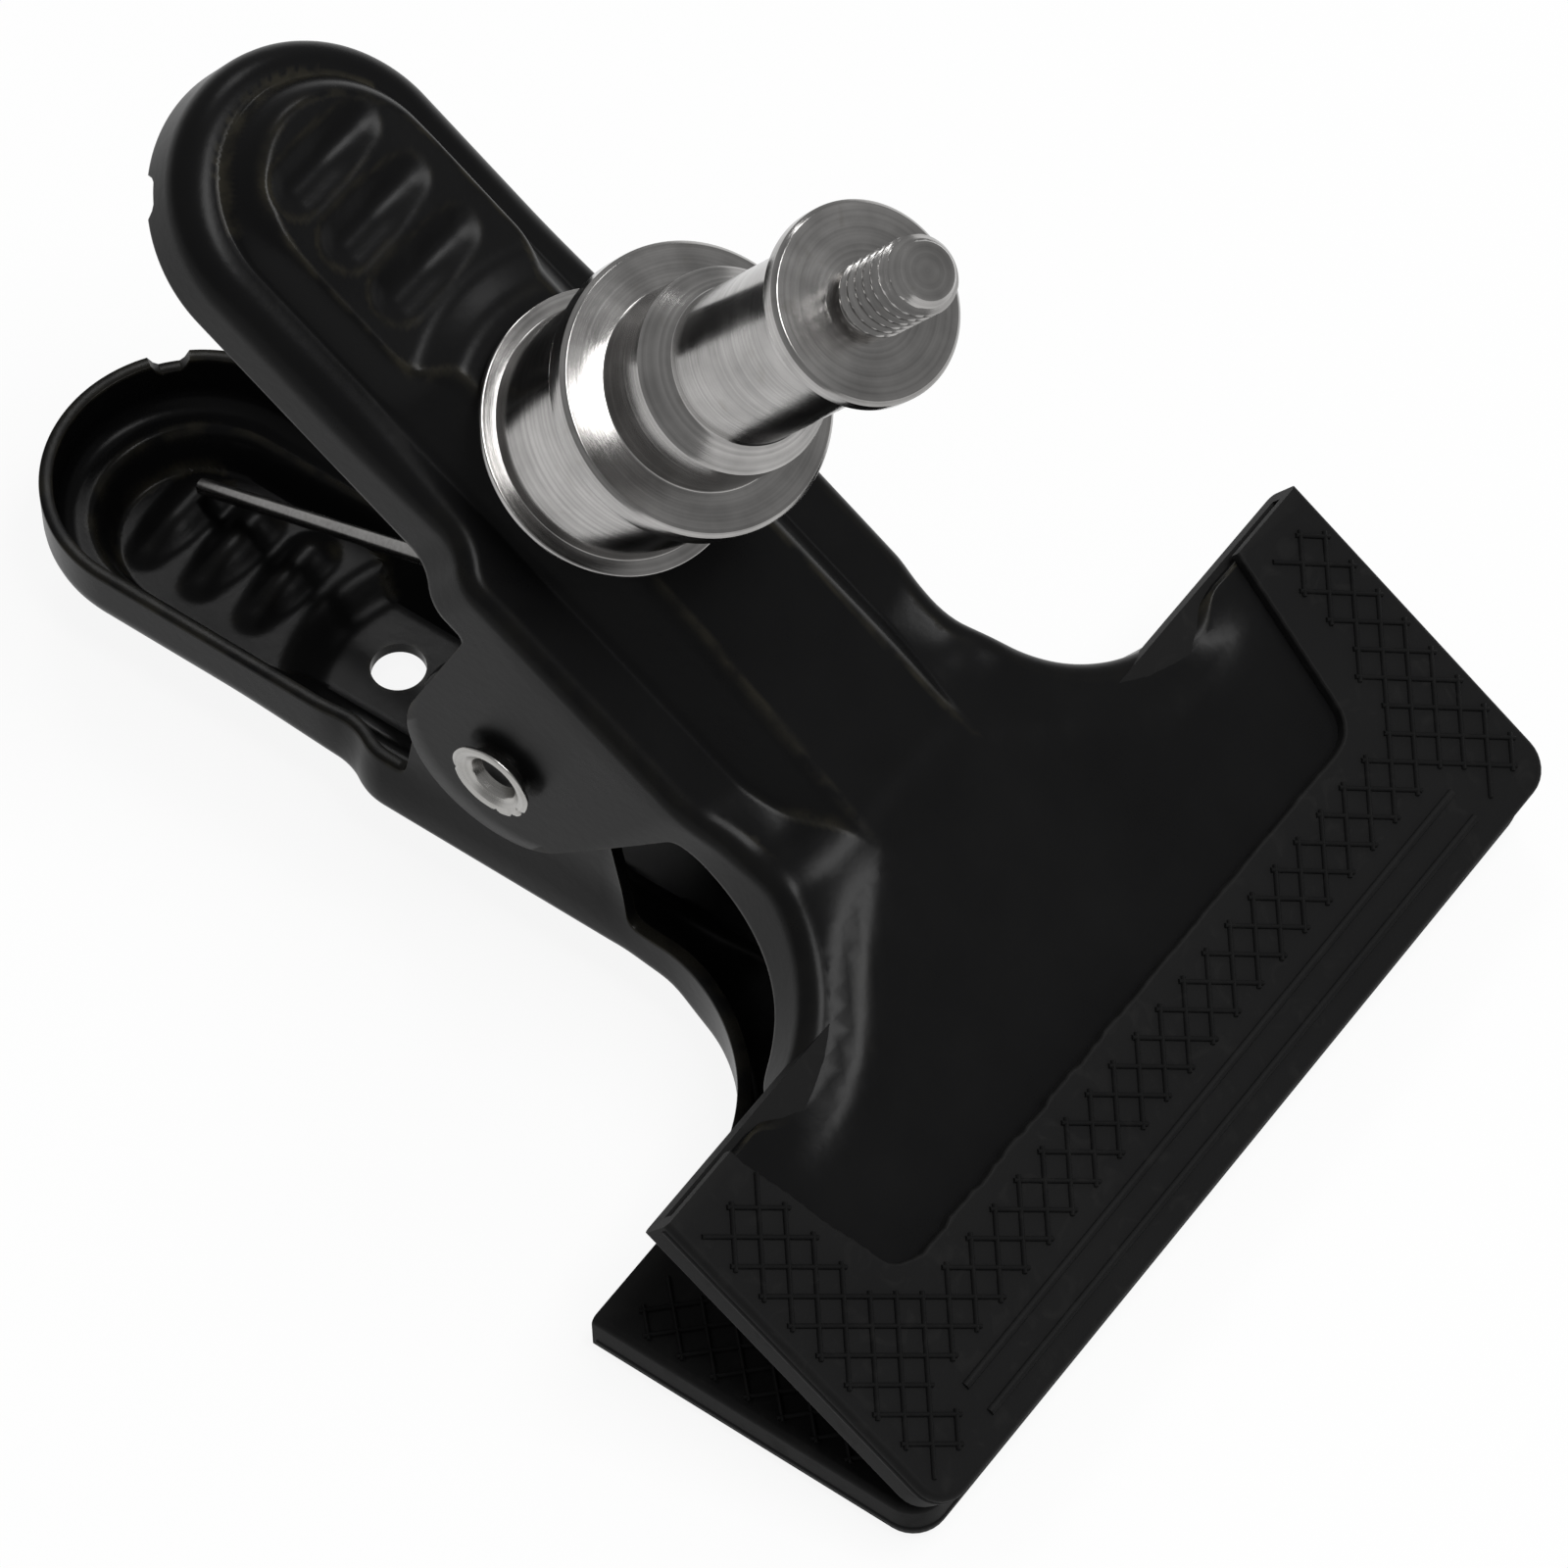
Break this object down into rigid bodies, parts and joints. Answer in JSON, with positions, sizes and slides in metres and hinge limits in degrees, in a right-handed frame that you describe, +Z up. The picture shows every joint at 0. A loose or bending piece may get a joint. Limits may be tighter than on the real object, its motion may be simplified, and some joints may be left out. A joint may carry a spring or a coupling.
{
  "type": "spring clamp",
  "caption": "Spring clamp with wide rubber-covered pressed-steel jaws on a sprung hinge and an upright light-stand spigot ending in a threaded stud.",
  "frame": {"origin": "middle of the clamp's box, on the surface that its lower jaw lies on", "axes": "+X from the handles to the mouth, +Y across the jaws along the hinge, +Z up"},
  "size_m": [0.1206, 0.0876, 0.0987],
  "materials": {
    "black_paint": "semi-gloss black over pressed steel",
    "black_rubber": "matte moulded rubber",
    "nickel": "bright nickel over turned steel, with fine turning marks",
    "zinc": "bright zinc",
    "spring_wire": "bright drawn wire"
  },
  "bodies": {
    "lower": {"lower_jaw": "black_paint", "lower_cover": "black_rubber", "pivot_rivet": "zinc", "torsion_spring": "spring_wire"},
    "upper": {"upper_jaw": "black_paint", "upper_cover": "black_rubber", "spigot_base": "nickel", "spigot_stud": "nickel", "fixing_screw": "zinc", "lock_washer": "zinc"}
  },
  "joints": [
    {"name": "jaw_hinge", "type": "hinge", "parent": "lower", "child": "upper", "pos_m": [-0.00352, 0, 0.02385], "axis": [0, -1, 0], "range_deg": [0, 50], "stiffness_Nm_per_rad": 0.39, "springref_deg": -68.75, "deforming": ["torsion_spring"]}
  ]
}
